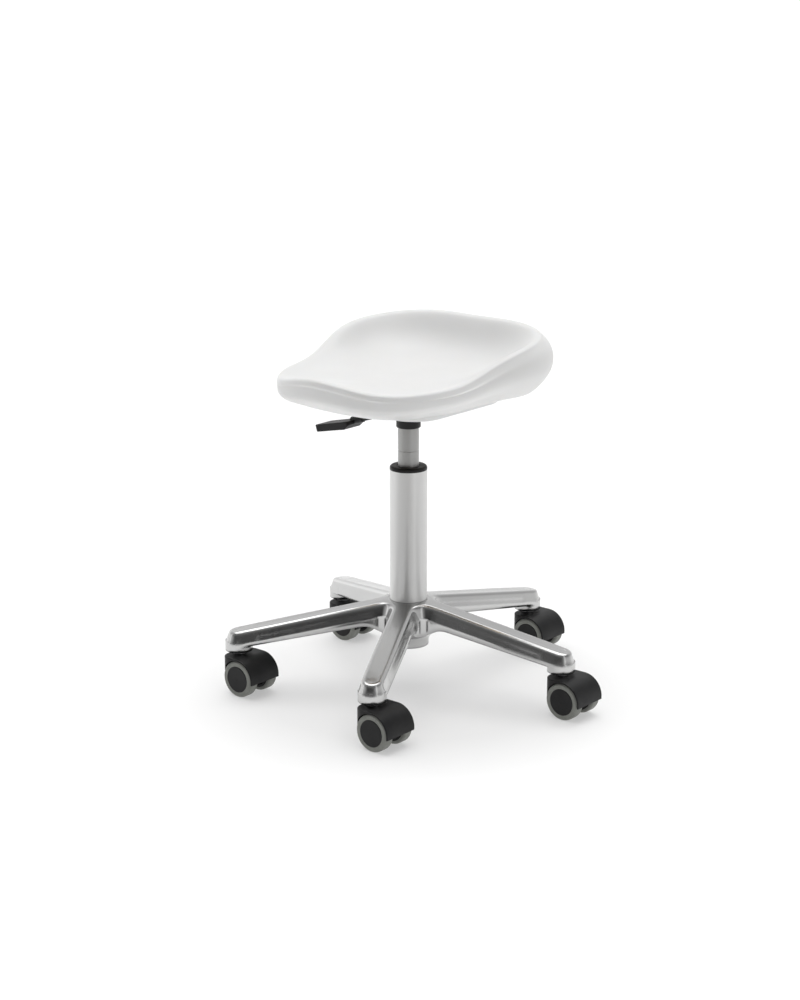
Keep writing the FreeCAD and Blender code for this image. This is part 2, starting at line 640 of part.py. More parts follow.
def make_piston_rod():
    """Rod that stands on the thrust bearing and carries the piston, with its clip."""
    body = new_body("piston_rod")
    piston_top = "d.piston_bottom + d.piston_tall"
    clip_top = "d.clip_bottom + d.clip_thick"
    groove = "d.rod_end_radius - 0.8"
    corners = [
        ("0", "d.rod_bottom"),
        ("d.rod_end_radius - 0.6", "d.rod_bottom"),
        ("d.rod_end_radius", "d.rod_bottom + 0.6"),
        ("d.rod_end_radius", "d.clip_bottom"),
        (groove, "d.clip_bottom"),
        (groove, clip_top),
        ("d.rod_end_radius", clip_top),
        ("d.rod_end_radius", "d.rod_shoulder"),
        ("d.rod_radius", "d.rod_shoulder"),
        ("d.rod_radius", "d.piston_bottom"),
        ("d.rod_neck_radius", "d.piston_bottom"),
        ("d.rod_neck_radius", piston_top),
        ("d.rod_radius", piston_top),
        ("d.rod_radius", f"{piston_top} + 2"),
        ("0", f"{piston_top} + 3"),
    ]
    turn(body, "rod", corners)
    make_ring("rod_clip", groove, "d.rod_end_radius + 3.2", "d.clip_bottom", clip_top)
    make_ring("buffer_ring", "d.rod_radius", "d.buffer_radius",
              "d.rod_shoulder", "d.rod_shoulder + d.buffer_tall")


def make_piston():
    """Piston on the rod's upper end, and the seal in its groove."""
    body = new_body("piston")
    outside = "d.cylinder_bore - 0.05"
    groove = f"{outside} - d.seal_depth"
    low = "d.piston_bottom + (d.piston_tall - d.seal_tall) / 2"
    high = "d.piston_bottom + (d.piston_tall + d.seal_tall) / 2"
    top = "d.piston_bottom + d.piston_tall"
    corners = [
        ("d.rod_neck_radius", "d.piston_bottom"),
        (outside, "d.piston_bottom"),
        (outside, low),
        (groove, low),
        (groove, high),
        (outside, high),
        (outside, top),
        ("d.rod_neck_radius", top),
    ]
    turn(body, "ring", corners)
    make_ring("piston_seal", groove, "d.cylinder_bore - 0.02", low, high)


# ------------------------------------------------------------------- gas cylinder

def cylinder_outside(height):
    """Outer radius of the gas cylinder within its upper taper."""
    run = "(d.cylinder_top - d.cylinder_taper_start)"
    return f"d.cylinder_radius - d.cylinder_taper_depth * (({height}) - d.cylinder_taper_start) / {run}"


def make_gas_cylinder():
    """Pressure tube that slides in the guide bush, closed round the valve on top."""
    body = new_body("gas_cylinder")
    groove = "d.cylinder_radius - 0.35"
    corners = [
        ("d.cylinder_bore", "d.cylinder_bottom"),
        ("d.cylinder_radius - 0.6", "d.cylinder_bottom"),
        ("d.cylinder_radius", "d.cylinder_bottom + 0.6"),
        ("d.cylinder_radius", "d.groove_height - 1"),
        (groove, "d.groove_height - 0.6"),
        (groove, "d.groove_height + 0.6"),
        ("d.cylinder_radius", "d.groove_height + 1"),
        ("d.cylinder_radius", "d.cylinder_taper_start"),
        ("d.cylinder_radius - d.cylinder_taper_depth", "d.cylinder_top"),
        ("d.valve_radius", "d.cylinder_top"),
        ("d.valve_radius", "d.cylinder_roof"),
        ("d.cylinder_bore", "d.cylinder_roof"),
    ]
    turn(body, "tube", corners)
    make_ring("rod_guide", "d.rod_radius + d.rod_clearance", "d.cylinder_bore",
              "d.cylinder_bottom", "d.cylinder_bottom + d.guide_tall")
    make_ring("valve_body", "d.pin_radius + 0.05", "d.valve_radius",
              "d.cylinder_roof + 2", "d.cylinder_top - 0.5")


def make_release_pin():
    """Pin that opens the gas valve when it is pushed down."""
    body = new_body("release_pin")
    corners = [
        ("0", "d.pin_bottom"),
        ("d.pin_radius", "d.pin_bottom"),
        ("d.pin_radius", "d.pin_top - 1.2"),
        ("d.pin_radius - 1.2", "d.pin_top"),
        ("0", "d.pin_top"),
    ]
    turn(body, "pin", corners)


# ----------------------------------------------------------- socket, plate and pan

def make_taper_socket():
    """Socket on the cylinder's taper, slotted above for the release lever."""
    body = new_body("taper_socket")
    mouth = cylinder_outside("d.socket_bottom")
    corners = [
        (mouth, "d.socket_bottom"),
        ("d.socket_radius - d.socket_round", "d.socket_bottom",
         ("d.socket_radius - d.socket_round", "d.socket_bottom + d.socket_round", 1)),
        ("d.socket_radius", "d.socket_bottom + d.socket_round"),
        ("d.socket_radius", "d.plate_bottom"),
        ("0", "d.plate_bottom"),
        ("0", "d.cylinder_top + 0.3"),
        ("d.cylinder_radius - d.cylinder_taper_depth", "d.cylinder_top + 0.3"),
        ("d.cylinder_radius - d.cylinder_taper_depth", "d.cylinder_top"),
    ]
    turn(body, "wall", corners)
    slot = [
        ("-d.socket_radius - 1", "-d.slot_width / 2"),
        ("d.slot_end", "-d.slot_width / 2"),
        ("d.slot_end", "d.slot_width / 2"),
        ("-d.socket_radius - 1", "d.slot_width / 2"),
    ]
    slot_plan = new_sketch(body, "slot_plan", "XY_Plane", lift="d.slot_floor")
    draw_outline(slot_plan, slot)
    pocket(body, "slot", slot_plan, "d.plate_bottom - d.slot_floor + 1", back=True)
    pin_plan = new_sketch(body, "pin_plan", "XY_Plane", lift="d.cylinder_top - 1")
    draw_circle(pin_plan, "0", "0", "d.pin_radius + 1")
    pocket(body, "pin_hole", pin_plan, "4", back=True)
    pivot_plan = new_sketch(body, "pivot_plan", "XZ_Plane")
    draw_circle(pivot_plan, "d.lever_pivot_x", "d.lever_pivot_z", "d.pivot_radius")
    pocket(body, "pivot_hole", pivot_plan, "3 * d.socket_radius", middle=True)


def make_lever_pivot_pin():
    """Pin across the socket that the lever turns on."""
    body = new_body("lever_pivot_pin")
    outline = new_sketch(body, "outline", "XZ_Plane")
    draw_circle(outline, "d.lever_pivot_x", "d.lever_pivot_z", "d.pivot_radius")
    pad(body, "pin", outline, "d.socket_radius + 1.5", middle=True)


def screw_square(body, name, radius, lift):
    """Sketch of one circle at a corner of the square of plate screws."""
    sketch = new_sketch(body, name, "XY_Plane", lift=lift)
    return draw_circle(sketch, "d.screw_square / 2", "d.screw_square / 2", radius)


def make_mounting_plate():
    """Square steel plate that the socket is welded to, screwed to the seat pan."""
    body = new_body("mounting_plate")
    outline = square_hull(new_sketch(body, "outline", "XY_Plane", lift="d.plate_bottom"),
                          "d.plate_side", "d.plate_corner")
    pad(body, "plate", outline, "d.plate_thick")
    hole_plan = screw_square(body, "hole_plan", "d.plate_hole_radius", "d.plate_bottom")
    hole = pocket(body, "hole", hole_plan, "d.plate_thick", back=True)
    around(body, "holes", hole, "4")


def make_seat_pan():
    """Board moulded into the seat's underside, with holes for the threaded inserts."""
    body = new_body("seat_pan")
    bottom = "d.plate_bottom + d.plate_thick"
    outline = square_hull(new_sketch(body, "outline", "XY_Plane", lift=bottom),
                          "d.pan_side", "d.pan_corner")
    pad(body, "board", outline, "d.pan_thick")
    hole_plan = screw_square(body, "hole_plan", "d.insert_radius", bottom)
    hole = pocket(body, "hole", hole_plan, "d.pan_thick", back=True)
    around(body, "holes", hole, "4")


def make_plate_screws():
    """Four pan-head screws, one node."""
    body = new_body("plate_screws")
    corner = "d.screw_square / 2 * sqrt(2)"
    head_bottom = "d.plate_bottom - d.screw_head_tall"
    end = "d.plate_bottom + d.plate_thick + d.insert_tall - 2"
    corners = [
        ("0", f"{head_bottom} + 1.6"),
        ("1.6", f"{head_bottom} + 1.6"),
        ("2", head_bottom),
        ("d.screw_head_radius - 1.4", head_bottom),
        ("d.screw_head_radius", f"{head_bottom} + 1.6"),
        ("d.screw_head_radius", "d.plate_bottom"),
        ("d.screw_radius", "d.plate_bottom"),
        ("d.screw_radius", end),
        ("0", end),
    ]
    screw = turn(body, "screw", corners, shift=corner)
    around(body, "square", screw, "4")
    place(body, turn_about=FreeCAD.Vector(0, 0, 1), turn_by=45)


def make_seat_inserts():
    """Four threaded inserts in the seat pan, one node."""
    body = new_body("seat_inserts")
    bottom = "d.plate_bottom + d.plate_thick"
    top = f"{bottom} + d.insert_tall"
    corners = [
        ("d.screw_radius", bottom),
        ("d.insert_radius", bottom),
        ("d.insert_radius", top),
        ("d.screw_radius", top),
    ]
    insert = turn(body, "insert", corners, shift="d.screw_square / 2 * sqrt(2)")
    around(body, "square", insert, "4")
    place(body, turn_about=FreeCAD.Vector(0, 0, 1), turn_by=45)


# -------------------------------------------------------------------------- seat

def seat_outline(body, name, lift, inset):
    """Plan of the seat: a rounded trapezium, inset all round."""
    back_x = "(d.seat_half_back - d.seat_back_corner)"
    back_y = "(d.seat_back - d.seat_back_corner)"
    front_x = "(d.seat_half_front - d.seat_front_corner)"
    front_y = "(d.seat_front - d.seat_front_corner)"
    back_round = f"d.seat_back_corner - ({inset})"
    front_round = f"d.seat_front_corner - ({inset})"
    circles = [
        (back_x, back_y, back_round),
        (f"-{back_x}", back_y, back_round),
        (f"-{front_x}", f"-{front_y}", front_round),
        (front_x, f"-{front_y}", front_round),
    ]
    return draw_hull(new_sketch(body, name, "XY_Plane", lift=lift), circles)


def cut_saddle(body):
    """Cut the blank along the line of the seat's edge: a dip for the thighs, a high back."""
    above = "d.seat_roof + 10"
    start = "(-d.seat_front - 10)"
    end = "(d.seat_back + 10)"
    dip_centre = "(d.crest_dip + d.saddle_radius)"
    brow_centre = "(d.crest_back - d.brow_radius)"
    both = "(d.saddle_radius + d.brow_radius)"
    apart = f"({dip_centre} - {brow_centre})"
    across = f"sqrt({both} * {both} - {apart} * {apart})"
    share = f"d.saddle_radius / {both}"
    brow_place = f"(d.dip_place + {across})"
    front_run = f"({start} - d.dip_place)"
    back_run = f"({end} - {brow_place})"
    front_drop = f"sqrt(d.saddle_radius * d.saddle_radius - {front_run} * {front_run})"
    back_rise = f"sqrt(d.brow_radius * d.brow_radius - {back_run} * {back_run})"
    corners = [
        (start, above),
        (start, f"{dip_centre} - {front_drop}", ("d.dip_place", dip_centre, 1)),
        (f"d.dip_place + {across} * {share}", f"{dip_centre} - {apart} * {share}",
         (brow_place, brow_centre, -1)),
        (end, f"{brow_centre} + {back_rise}"),
        (end, above),
    ]
    side = draw_outline(new_sketch(body, "saddle_side", "YZ_Plane"), corners)
    pocket(body, "saddle", side, "3 * d.seat_half_back", middle=True)


def cut_bowl(body):
    """Turn the bowl into the seat: a shallow middle that curls up into its side."""
    floor_radius = "d.bowl_floor_radius"
    drop = f"sqrt({floor_radius} * {floor_radius} - d.bowl_flat * d.bowl_flat)"
    flat_end = f"(d.bowl_floor + {floor_radius} - {drop})"
    centre_x = f"(d.bowl_flat * (1 - d.bowl_side_radius / {floor_radius}))"
    centre_z = f"({flat_end} + {drop} * d.bowl_side_radius / {floor_radius})"
    fall = f"({centre_z} - d.seat_roof)"
    edge = f"sqrt(d.bowl_side_radius * d.bowl_side_radius - {fall} * {fall})"
    corners = [
        ("0", "d.bowl_floor", ("0", f"d.bowl_floor + {floor_radius}", 1)),
        ("d.bowl_flat", flat_end, (centre_x, centre_z, 1)),
        (f"{centre_x} + {edge}", "d.seat_roof"),
        ("0", "d.seat_roof"),
    ]
    before = body.Shape.Volume
    side = new_sketch(body, "bowl_side", "XZ_Plane", lift="-d.bowl_place")
    draw_outline(side, corners)
    bowl = add_feature(body, "Groove", "bowl", side)
    bowl.ReferenceAxis = (side, ["V_Axis"])
    bowl.Angle = 360
    doc.recompute()
    if not bowl.Shape.Volume < before:
        raise RuntimeError("the seat's bowl removed nothing")
    return bowl


def is_seat_rim(edge):
    """Whether an edge joins the seat's top to its outer side."""
    middle = edge.valueAt((edge.FirstParameter + edge.LastParameter) / 2)
    if edge.BoundBox.ZMin < value("d.seat_belly + 5") or edge.BoundBox.DiagonalLength < 1:
        return False
    flat = abs(edge.tangentAt((edge.FirstParameter + edge.LastParameter) / 2).z) < 0.9
    from_bowl = math.hypot(middle.x, middle.y - value("d.bowl_place"))
    return flat and from_bowl > value("d.bowl_flat + d.bowl_side_radius")


def make_seat_cushion():
    """Moulded foam seat: flat underside, tapering belly, saddle-shaped top."""
    body = new_body("seat_cushion")
    bottom = "d.plate_bottom + d.plate_thick"
    belly = body.newObject("PartDesign::AdditiveLoft", "seat_cushion_belly")
    belly.Profile = seat_outline(body, "under_plan", bottom, "d.seat_under_inset")
    belly.Sections = [seat_outline(body, "belly_plan", "d.seat_belly", "0")]
    belly.Ruled = True
    blank_plan = seat_outline(body, "blank_plan", "d.seat_belly", "0")
    pad(body, "blank", blank_plan, "d.seat_roof - d.seat_belly")
    cut_saddle(body)
    bowl = cut_bowl(body)
    round_edges(body, "rim", bowl, "d.seat_rim_round", is_seat_rim)
    pan_plan = square_hull(new_sketch(body, "pan_plan", "XY_Plane", lift=bottom),
                           "d.pan_side", "d.pan_corner")
    pocket(body, "pan_seat", pan_plan, "d.pan_thick", back=True)


# -------------------------------------------------------------------------- lever

def place_lever(body):
    """Put a lever piece, modelled along its own X, on the lever's pivot."""
    place(body, "d.lever_pivot_x", "0", "d.lever_pivot_z",
          FreeCAD.Vector(0, 1, 0), -value("d.lever_slope"))


def make_lever_rod():
    """Round steel rod of the release lever, with the hole for its pivot pin."""
    body = new_body("lever_rod")
    section = new_sketch(body, "section", "YZ_Plane", lift="-d.lever_outer")
    draw_circle(section, "0", "0", "d.lever_rod_radius")
    pad(body, "rod", section, "d.lever_outer + d.lever_inner")
    pivot_plan = new_sketch(body, "pivot_plan", "XZ_Plane")
    draw_circle(pivot_plan, "0", "0", "d.pivot_radius + 0.05")
    pocket(body, "pivot_hole", pivot_plan, "4 * d.lever_rod_radius", middle=True)
    place_lever(body)


def make_lever_handle():
    """Plastic paddle on the lever rod: a flat block that tips up a little from the rod."""
    body = new_body("lever_handle")
    half = "d.paddle_thick / 2"
    outline = [
        ("-d.paddle_end", f"-{half}"),
        ("-d.paddle_start - 2 * d.paddle_bevel", f"-d.paddle_drop - {half}"),
        ("-d.paddle_start", f"-d.paddle_drop - {half} + d.paddle_bevel"),
        ("-d.paddle_start", f"-d.paddle_drop + {half}"),
        ("-d.paddle_end", half),
    ]
    side = draw_outline(new_sketch(body, "side", "XZ_Plane"), outline)
    grip = pad(body, "grip", side, "d.paddle_width", middle=True)

    def is_corner_edge(edge):
        return edge.BoundBox.YLength < 0.01 and edge.BoundBox.XLength < 0.01

    def is_rim_edge(edge):
        return edge.BoundBox.XLength > 0.01 or edge.BoundBox.YLength > 1

    corners = round_edges(body, "grip_corners", grip, "d.paddle_corner", is_corner_edge)
    round_edges(body, "grip_rim", corners, "d.paddle_edge", is_rim_edge)
    neck_section = new_sketch(body, "neck_section", "YZ_Plane", lift="-d.paddle_neck_end")
    draw_circle(neck_section, "0", "0", "d.paddle_neck_radius")
    pad(body, "neck", neck_section, "d.paddle_neck_end - d.paddle_neck")
    bore_section = new_sketch(body, "bore_section", "YZ_Plane", lift="-d.lever_outer")
    draw_circle(bore_section, "0", "0", "d.lever_rod_radius")
    pocket(body, "bore", bore_section, "d.lever_outer", back=True)
    place_lever(body)


# ------------------------------------------------------------------------ casters

def make_caster_stems():
    """Five caster stems pressed into the leg collars, one node."""
    body = new_body("caster_stems")
    top = "d.collar_bottom + d.stem_tall"
    ring_top = "d.ring_height + d.ring_tall"
    corners = [
        ("0", "d.stem_bottom"),
        ("d.stem_radius - 1", "d.stem_bottom"),
        ("d.stem_radius", "d.stem_bottom + 1"),
        ("d.stem_radius", "d.stem_flange_bottom"),
        ("d.stem_flange_radius", "d.stem_flange_bottom"),
        ("d.stem_flange_radius", "d.collar_bottom"),
        ("d.stem_radius", "d.collar_bottom"),
        ("d.stem_radius", "d.ring_height"),
        ("d.ring_groove", "d.ring_height"),
        ("d.ring_groove", ring_top),
        ("d.stem_radius", ring_top),
        ("d.stem_radius", f"{top} - 1"),
        ("d.stem_radius - 1", top),
        ("0", top),
    ]
    stem = turn(body, "stem", corners, shift="d.stem_circle")
    around(body, "stems", stem, "d.leg_count")
    place(body, turn_about=FreeCAD.Vector(0, 0, 1), turn_by=value("d.first_leg_angle"))


def make_stem_grip_rings():
    """Five spring rings that hold the stems in the collars, one node."""
    body = new_body("stem_grip_rings")
    top = "d.ring_height + d.ring_tall"
    corners = [
        ("d.ring_groove", "d.ring_height"),
        ("d.stem_bore_radius", "d.ring_height"),
        ("d.stem_bore_radius", top),
        ("d.ring_groove", top),
    ]
    ring = turn(body, "ring", corners, shift="d.stem_circle")
    around(body, "rings", ring, "d.leg_count")
    place(body, turn_about=FreeCAD.Vector(0, 0, 1), turn_by=value("d.first_leg_angle"))


def caster_place(number):
    """Where the stem axis of a numbered caster stands."""
    angle = f"(d.first_leg_angle + {number - 1} * 360 / d.leg_count)"
    return f"d.stem_circle * cos({angle})", f"d.stem_circle * sin({angle})"


def make_caster_hood(number):
    """Caster body: middle wall with the stem's bore, and a hood over both wheels."""
    body = new_body(f"caster_{number}_hood")
    outer = "(d.wheel_radius + d.hood_gap + d.hood_wall)"
    rear_x = f"d.trail + {outer} * cos(d.hood_rear_angle)"
    rear_z = f"{AXLE_Z} - {outer} * sin(d.hood_rear_angle)"
    side = [
        ("d.hood_front", "d.hood_front_bottom"),
        (rear_x, rear_z, ("d.trail", AXLE_Z, 1)),
        ("d.trail", f"{AXLE_Z} + {outer}"),
        ("d.hood_front", f"{AXLE_Z} + {outer}"),
    ]
    side_sketch = draw_outline(new_sketch(body, "side", "XZ_Plane"), side)
    shell = pad(body, "shell", side_sketch, "2 * d.hood_half_width", middle=True)
    front = value("d.hood_front")
    top = value(f"{AXLE_Z} + {outer}")

    def is_front_corner(edge):
        box = edge.BoundBox
        return box.XMax < front + 0.1 and box.ZLength > 15

    rounded = round_edges(body, "front_corners", shell, "d.hood_front_round", is_front_corner)

    def is_top_rim(edge):
        box = edge.BoundBox
        front_rim = box.ZMin > top - 0.1 and box.YLength > 1
        side_rim = box.YLength < 0.1 and box.ZMax > top - 0.1 and box.XMax > value("d.trail") - 1
        side_rim = side_rim and abs(box.YMin) > value("d.hood_half_width") - 0.1
        return (front_rim and box.XMin < value("d.trail") - 1) or side_rim

    round_edges(body, "top_rim", rounded, "1.2", is_top_rim)
    for side_name, lift, back in (("near", "d.hood_core_half", True), ("far", "-d.hood_core_half", False)):
        well = new_sketch(body, f"{side_name}_well", "XZ_Plane", lift=lift)
        draw_circle(well, "d.trail", AXLE_Z, "d.wheel_radius + d.hood_gap")
        pocket(body, f"{side_name}_wheel_well", well, "d.hood_half_width", back=back)
    boss = draw_circle(new_sketch(body, "boss", "XZ_Plane"), "d.trail", AXLE_Z, "d.hood_web_radius")
    pad(body, "axle_boss", boss, "2 * d.hood_core_half", middle=True)
    stem_plan = new_sketch(body, "stem_plan", "XY_Plane", lift=f"{AXLE_Z} + {outer} + 1")
    draw_circle(stem_plan, "0", "0", "d.stem_radius + d.swivel_clearance")
    pocket(body, "stem_bore", stem_plan, f"{AXLE_Z} + {outer} + 1 - d.stem_bottom + 1")
    axle_plan = draw_circle(new_sketch(body, "axle_plan", "XZ_Plane"), "d.trail", AXLE_Z, "d.axle_radius")
    pocket(body, "axle_bore", axle_plan, "4 * d.hood_core_half", middle=True)
    place(body, *caster_place(number))


def make_caster_axle(number):
    """Steel axle through a caster's middle wall."""
    body = new_body(f"caster_{number}_axle")
    outline = draw_circle(new_sketch(body, "outline", "XZ_Plane"), "d.trail", AXLE_Z, "d.axle_radius")
    pad(body, "pin", outline, "2 * d.axle_half", middle=True)
    place(body, *caster_place(number))


def place_wheel(body, number, side):
    """Put a wheel piece, modelled along its own Z, on its caster's axle."""
    x, y = caster_place(number)
    place(body, f"{x} + d.trail", y, AXLE_Z, FreeCAD.Vector(1, 0, 0), -90 * side)


def make_wheel_core(number, side_name, side):
    """Nylon wheel: hub, disc, rim and side cap in one moulding."""
    body = new_body(f"caster_{number}_{side_name}_wheel")
    bore = "d.axle_radius + d.axle_clearance"
    bore_end = "d.axle_half + 0.6"
    corners = [
        (bore, "d.wheel_hub_inner"),
        ("d.wheel_hub_radius", "d.wheel_hub_inner"),
        ("d.wheel_hub_radius", "d.wheel_web"),
        ("d.rim_radius - 3", "d.wheel_web"),
        ("d.rim_radius - 3", "d.wheel_inner"),
        ("d.rim_radius", "d.wheel_inner"),
        ("d.rim_radius", "d.rim_shoulder"),
        ("d.cap_radius", "d.rim_shoulder"),
        ("d.cap_radius", "d.wheel_outer"),
        ("d.cap_radius - 1", "d.wheel_outer + 0.5"),
        ("0", "d.cap_outer"),
        ("0", bore_end),
        (bore, bore_end),
    ]
    turn(body, "wheel", corners)
    place_wheel(body, number, side)


def make_tyre(number, side_name, side):
    """Soft grey tyre that wraps the rim and the side of its wheel."""
    body = new_body(f"caster_{number}_{side_name}_tyre")
    rounding = "d.tyre_round"
    shoulder = f"d.wheel_radius - {rounding}"
    corners = [
        ("d.rim_radius", "d.wheel_inner"),
        (shoulder, "d.wheel_inner", (shoulder, f"d.wheel_inner + {rounding}", 1)),
        ("d.wheel_radius", f"d.wheel_inner + {rounding}"),
        ("d.wheel_radius", f"d.wheel_outer - {rounding}", (shoulder, f"d.wheel_outer - {rounding}", 1)),
        (shoulder, "d.wheel_outer"),
        ("d.cap_radius", "d.wheel_outer"),
        ("d.cap_radius", "d.rim_shoulder"),
        ("d.rim_radius", "d.rim_shoulder"),
    ]
    turn(body, "tyre", corners)
    place_wheel(body, number, side)


def make_casters():
    """Five casters, each with a hood, an axle and two wheels that turn by themselves."""
    make_caster_stems()
    make_stem_grip_rings()
    for number in range(1, int(value("d.leg_count")) + 1):
        make_caster_hood(number)
        make_caster_axle(number)
        for side_name, side in (("left", -1), ("right", 1)):
            make_wheel_core(number, side_name, side)
            make_tyre(number, side_name, side)


# ------------------------------------------------------------------------- export

def check_and_export():
    """Stop on any failed object or bad shape, then write one STEP file per sub-part."""
    doc.recompute()
    for item in doc.Objects:
        if "Invalid" in item.State or "Error" in item.State:
            raise RuntimeError(f"{item.Name} failed: {item.State}")
    for body in parts:
        if body.Shape.isNull() or not body.Shape.isValid() or not body.Shape.Solids:
            raise RuntimeError(f"{body.Label} has no valid solid")
    os.makedirs("parts", exist_ok=True)
    for body in parts:
        body.Shape.exportStep(f"parts/{body.Label}.step")
        print(f"{body.Label}: {len(body.Shape.Solids)} solid(s), {body.Shape.Volume / 1000:.2f} cm3")


fill_sheet()
make_star_base()
make_column_tube()
make_guide_bush()
make_tube_end_plate()
make_thrust_bearing()
make_piston_rod()
make_piston()
make_gas_cylinder()
make_release_pin()
make_taper_socket()
make_lever_pivot_pin()
make_mounting_plate()
make_seat_pan()
make_plate_screws()
make_seat_inserts()
make_seat_cushion()
make_lever_rod()
make_lever_handle()
make_casters()
check_and_export()
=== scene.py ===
import json
import math

import bpy
import numpy as np
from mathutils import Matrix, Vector


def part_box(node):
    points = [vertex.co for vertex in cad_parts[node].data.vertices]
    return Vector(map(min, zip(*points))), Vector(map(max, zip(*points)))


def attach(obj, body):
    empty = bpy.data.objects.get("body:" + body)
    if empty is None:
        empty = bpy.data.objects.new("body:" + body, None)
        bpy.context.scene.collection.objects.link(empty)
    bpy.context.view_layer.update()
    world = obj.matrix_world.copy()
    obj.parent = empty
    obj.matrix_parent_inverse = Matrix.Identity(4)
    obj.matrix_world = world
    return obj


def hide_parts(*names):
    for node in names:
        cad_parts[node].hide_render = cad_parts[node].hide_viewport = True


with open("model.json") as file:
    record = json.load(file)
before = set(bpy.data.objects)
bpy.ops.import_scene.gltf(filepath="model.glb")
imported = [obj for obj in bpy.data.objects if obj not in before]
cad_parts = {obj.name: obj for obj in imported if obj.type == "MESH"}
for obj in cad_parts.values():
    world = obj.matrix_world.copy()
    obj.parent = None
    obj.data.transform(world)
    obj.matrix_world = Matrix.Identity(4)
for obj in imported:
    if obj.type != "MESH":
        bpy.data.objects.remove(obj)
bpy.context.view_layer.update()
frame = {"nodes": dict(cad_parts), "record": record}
NODES = frame["nodes"]

# The camera looks at a point on the column; its azimuth is measured from the front towards +X.
CAMERA_TARGET = Vector((0.0, 0.0, 0.2))
CAMERA_AZIMUTH = math.radians(39.6)
CAMERA_ELEVATION = math.radians(16.36)
CAMERA_DISTANCE = 3.0
CAMERA_LENS = 80.4
CAMERA_SHIFT = (-0.0085, 0.0419)
CAMERA_SENSOR = 36.0

# The studio is a soft round source overhead and walls, each with a level of brightness.  The walls run from
# their first level to their second between two heights; heights and spreads are cosines of directions.
SKYLIGHT_TILT = math.radians(10.0)
SKYLIGHT_RADIUS = 32.0
SKYLIGHT_SOFTNESS = 5.0
SKYLIGHT_LEVEL = 2.55
NEAR_WALL = (0.01, 0.28)
NEAR_WALL_HEIGHTS = (0.05, 0.85)
FAR_WALL = (0.86, 0.55)
FAR_WALL_HEIGHTS = (0.0, 0.6)
FAR_WALL_SPREAD = (-0.2, 0.9)
SIDE_WALL = 0.65
SIDE_WALL_HEIGHTS = (0.15, 0.6)
SIDE_WALL_SPREAD = (0.35, 0.95)
SIDE_WALL_TURN = math.radians(20.0)

# Two tall soft strips beside the camera: name, place, width and height in metres, and power in watts.
STRIPS = (
    ("left_strip", (-1.9, -1.6, 1.2), 0.5, 2.0, 2.0),
    ("right_strip", (2.4, -0.5, 1.3), 0.6, 2.0, 2.0),
)
STRIP_AIM = Vector((0.0, 0.0, 0.25))

# The floor glows a little and evenly, except in a soft disc under the stool where the glow is lowered as a
# painted shadow.
FLOOR_HALF_SIZE = 80.0
FLOOR_PAINT = 0.50
FLOOR_GLOW = 0.49
FLOOR_PAINTED_SHADOW = 0.10
FLOOR_PAINTED_SHADOW_RADIUS = (0.22, 0.36)

# The seat in metres.  A size that changes round the seat is given at equal steps from its front to its back,
# with the side halfway: the rim at nine places, the side's height at three, the rest at the front and back.
SEAT_CENTRE_FORWARD = 0.0175
RIM_RADIUS = (0.171, 0.168, 0.158, 0.143, 0.141, 0.165, 0.189, 0.181, 0.169)
RIM_HEIGHT = (0.453, 0.444, 0.439, 0.441, 0.453, 0.472, 0.481, 0.487, 0.487)
SIDE_BULGE = (-0.001, 0.017)
SIDE_HEIGHT = (0.035, 0.036, 0.101)
SIDE_BLEND = 0.004
BOWL_FLOOR = 0.4335
BOWL_STEEPNESS = (3.1, 5.7)
BOWL_RINGS = (0.12, 0.26, 0.40, 0.52, 0.63, 0.73, 0.82, 0.90, 0.96)
BOWL_EDGE_INSET = 0.016
BOWL_EDGE_DROP = 0.003
UNDER_RADIUS = 0.087
UNDER_RINGS = (0.22, 0.44, 0.66, 0.86, 1.0)
UNDER_ROUNDNESS = 1.6
UNDER_MARGIN = 0.002
SEAT_SPOKES = 96

# The section over the rim and down the side: outwards of the rim, share of the bulge, below the crest, and
# share of the side's height.
RIM_SECTION = (
    (-0.0130, 0.00, 0.0016, 0.00),
    (-0.0080, 0.00, 0.0003, 0.00),
    (-0.0038, 0.00, 0.0000, 0.00),
    (-0.0010, 0.00, 0.0013, 0.00),
    (0.0006, 0.00, 0.0040, 0.00),
    (0.0010, 0.45, 0.0090, 0.00),
    (0.0000, 0.90, 0.0000, 0.27),
    (0.0000, 1.00, 0.0000, 0.42),
    (0.0000, 0.86, 0.0000, 0.57),
    (0.0000, 0.50, 0.0000, 0.72),
    (-0.0060, 0.00, 0.0000, 0.94),
    (-0.0200, 0.00, 0.0000, 1.08),
)

# The recess in the underside that holds the pan.
PAN_CLEARANCE = 0.0004
PAN_ROOF_CLEARANCE = 0.0003
PAN_CORNER = 0.040


# ------------------------------------------------------------------ shader helpers

